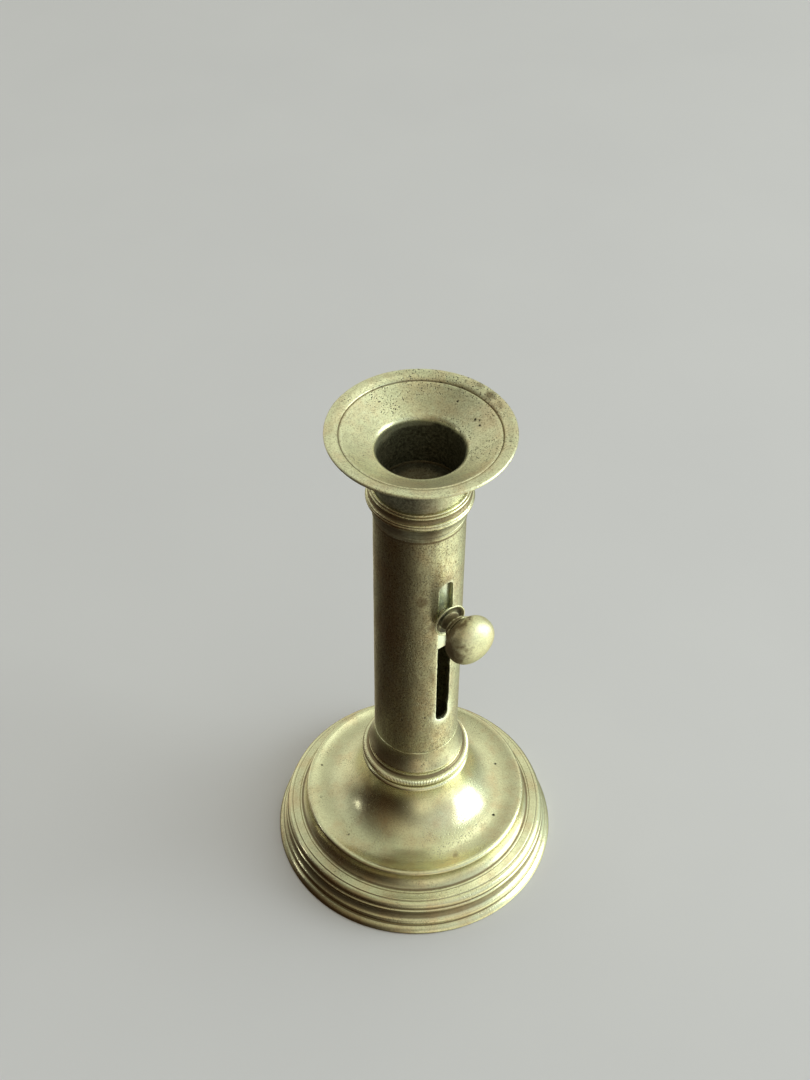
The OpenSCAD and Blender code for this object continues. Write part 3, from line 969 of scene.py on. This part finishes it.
def make_camera():
    """In front of the foot and above the pan, looking down at the whole candlestick."""
    pitch, roll = math.radians(CAMERA_PITCH), math.radians(CAMERA_ROLL)
    forward = Vector((0, math.cos(pitch), -math.sin(pitch)))
    level_up = Vector((0, math.sin(pitch), math.cos(pitch)))
    level_right = Vector((1, 0, 0))
    right = math.cos(roll) * level_right + math.sin(roll) * level_up
    up = math.cos(roll) * level_up - math.sin(roll) * level_right
    turn = Matrix((right, up, -forward)).transposed().to_4x4()
    data = bpy.data.cameras.new("camera")
    data.sensor_width = 36.0
    data.lens = CAMERA_LENS
    data.clip_start = 0.01
    obj = bpy.data.objects.new("camera", data)
    obj.matrix_world = Matrix.Translation([x * MM for x in CAMERA_PLACE]) @ turn
    bpy.context.scene.collection.objects.link(obj)
    bpy.context.scene.camera = obj


# ---------------------------------------------------------------- the candlestick

FOOT_TOP_Z = DISH_Z + 0.15
PAN_FLANGE_Z = pan_z - 0.9
COLLAR_BAND_Z = tube_top - 4.2

cast = brass(
    "cast_brass", tarnish=0.04, patches=0.20, mottle=0.12, pits=0.40, rough=(0.21, 0.40), grooves=2.4,
    speckle=0.22, etched=0.6, anisotropic=0.35,
    stains_and_shade=[(on_round(31.1, -65, FOOT_TOP_Z), 1.6, 0.5), (on_round(LEDGE_R, -118, LEDGE_Z), 1.4, 0.4)],
    holes=[(on_round(31.9, 167, FOOT_TOP_Z), 0.50), (on_round(28.1, 17, FOOT_TOP_Z), 0.55),
           (on_round(29.6, -136, FOOT_TOP_Z), 0.40), (on_round(28.5, -26, FOOT_TOP_Z), 0.60),
           (on_round(31.5, -169, FOOT_TOP_Z), 0.35)])
# The two broad marks on the collar below its bead, at the front and the left, are brown patches and
# painted shade under the pan
collar_metal = brass(
    "collar_brass", tarnish=0.18, patches=0.20, mottle=0.30, pits=0.6, rough=(0.22, 0.42), grooves=4.6,
    speckle=0.4, etched=1.0, anisotropic=0.4,
    stains_and_shade=[(on_round(tube_r + 0.8, -108, 49.4), 0.9, 0.7),
            (on_round(tube_r + 0.5, -78, COLLAR_BAND_Z), 4.5, 0.6),
            (on_round(tube_r + 0.5, -125, COLLAR_BAND_Z), 5.0, 0.6)])
tube = brass(
    "tube_brass", tarnish=0.08, patches=0.24, mottle=0.60, pits=0.5, lines=0.3, rough=(0.27, 0.44),
    grain=(1.0, 1.0, 0.40), speckle=0.75, etched=2.4, anisotropic=0.7,
    stains_and_shade=[(on_round(tube_r, -86, 121), 2.2, 0.60), (on_round(tube_r, -72, 110), 1.7, 0.5),
            (on_round(tube_r, -60, 60), 1.3, 0.3)],
    holes=[(on_round(tube_r, -110, 67.7), 0.45), (on_round(tube_r, -79, 69.4), 0.40),
           (on_round(tube_r, -100, 118.5), 0.35)])
# The brown marks on the flange at the right-back are grime in the crease and the painted shade of a dent
# there
pan = brass(
    "pan_brass", tarnish=0.04, patches=0.16, mottle=0.22, pits=0.9, pit_side=(0.55, 0.83, 0.0),
    rough=(0.28, 0.44), grooves=2.2, green=0.12, speckle=0.45, etched=1.3, anisotropic=0.3, metallic=0.84,
    stains_and_shade=[(on_round(25.6, 50, pan_z), 2.2, 0.8), (on_round(24.6, 38, PAN_FLANGE_Z), 2.4, 0.9),
            (on_round(24.0, 27, PAN_FLANGE_Z), 1.6, 0.7), (on_round(21.4, 60, pan_z - 1.6), 1.6, 0.3)],
    holes=[(on_round(18.4, 57, pan_z - 3.0), 0.55), (on_round(17.0, 31, pan_z - 3.6), 0.60),
           (on_round(17.1, 22, pan_z - 3.6), 0.45), (on_round(17.8, 27, pan_z - 3.2), 0.35),
           (on_round(16.0, -160, pan_z - 4.0), 0.40), (on_round(15.8, -42, pan_z - 4.1), 0.40),
           (on_round(19.0, 74, pan_z - 2.8), 0.35), (on_round(20.0, 66, pan_z - 2.4), 0.30)])
# The knob's large marks, round its neck and on the ball's left, are brown patches and painted shade on the
# side away from the light
knob_metal = brass(
    "knob_brass", tarnish=0.0, patches=0.12, mottle=0.22, pits=0.2, lines=1.3, rough=(0.50, 0.60),
    grooves=1.6, speckle=0.25, etched=1.1,
    stains_and_shade=[((0.0, 0.0, BALL_D - 6.5), 8.0, 1.2), ((-6.6, 0.5, BALL_D), 6.0, 1.2),
            ((-5.0, -5.2, BALL_D + 0.5), 5.0, 1.1), ((-2.5, 6.0, BALL_D - 3.0), 4.5, 1.1)])
washer_metal = brass(
    "washer_brass", tarnish=0.08, patches=0.3, mottle=0.7, pits=0.8, lines=0.3, rough=(0.40, 0.55),
    grooves=2.2, etched=1.5, metallic=0.88)
# The sleeve's top, down in the socket round the seat, is darkened to near brown: painted shade
sleeve_metal = brass(
    "sleeve_brass", clean=PATINA, tarnish=0.0, patches=0.05, mottle=0.08, pits=0.4, lines=0.2,
    rough=(0.32, 0.45), speckle=0.12, metallic=0.90, stains_and_shade=[((0.0, 0.0, sleeve_top), 20.0, 1.2)])
seat_metal = brass(
    "seat_brass", clean=WARM, tarnish=0.50, patches=0.5, mottle=0.9, pits=1.0, lines=0.2, rough=(0.5, 0.7),
    green=0.15, speckle=0.9, etched=3.5, metallic=0.85)
dull = brass(
    "hidden_brass", clean=WARM, tarnish=0.45, patches=0.4, mottle=0.5, pits=1.0, lines=0.2,
    rough=(0.45, 0.65), green=0.6)

make_camera()
make_foot(cast)
make_milled_ring(cast)
make_ferrule(collar_metal)
make_stem(tube)
make_collar(collar_metal)
make_pan(pan)
make_washer(washer_metal)
make_knob(knob_metal)
make_seat(seat_metal)
carry("pusher_sleeve", sleeve_metal)
for hidden in ("stem_plug", "base_washer", "base_nut", "slide_stud"):
    carry(hidden, dull)
make_floor()
make_light("window", **WINDOW)
make_light("left_lamp", **LEFT_LAMP)
make_world()
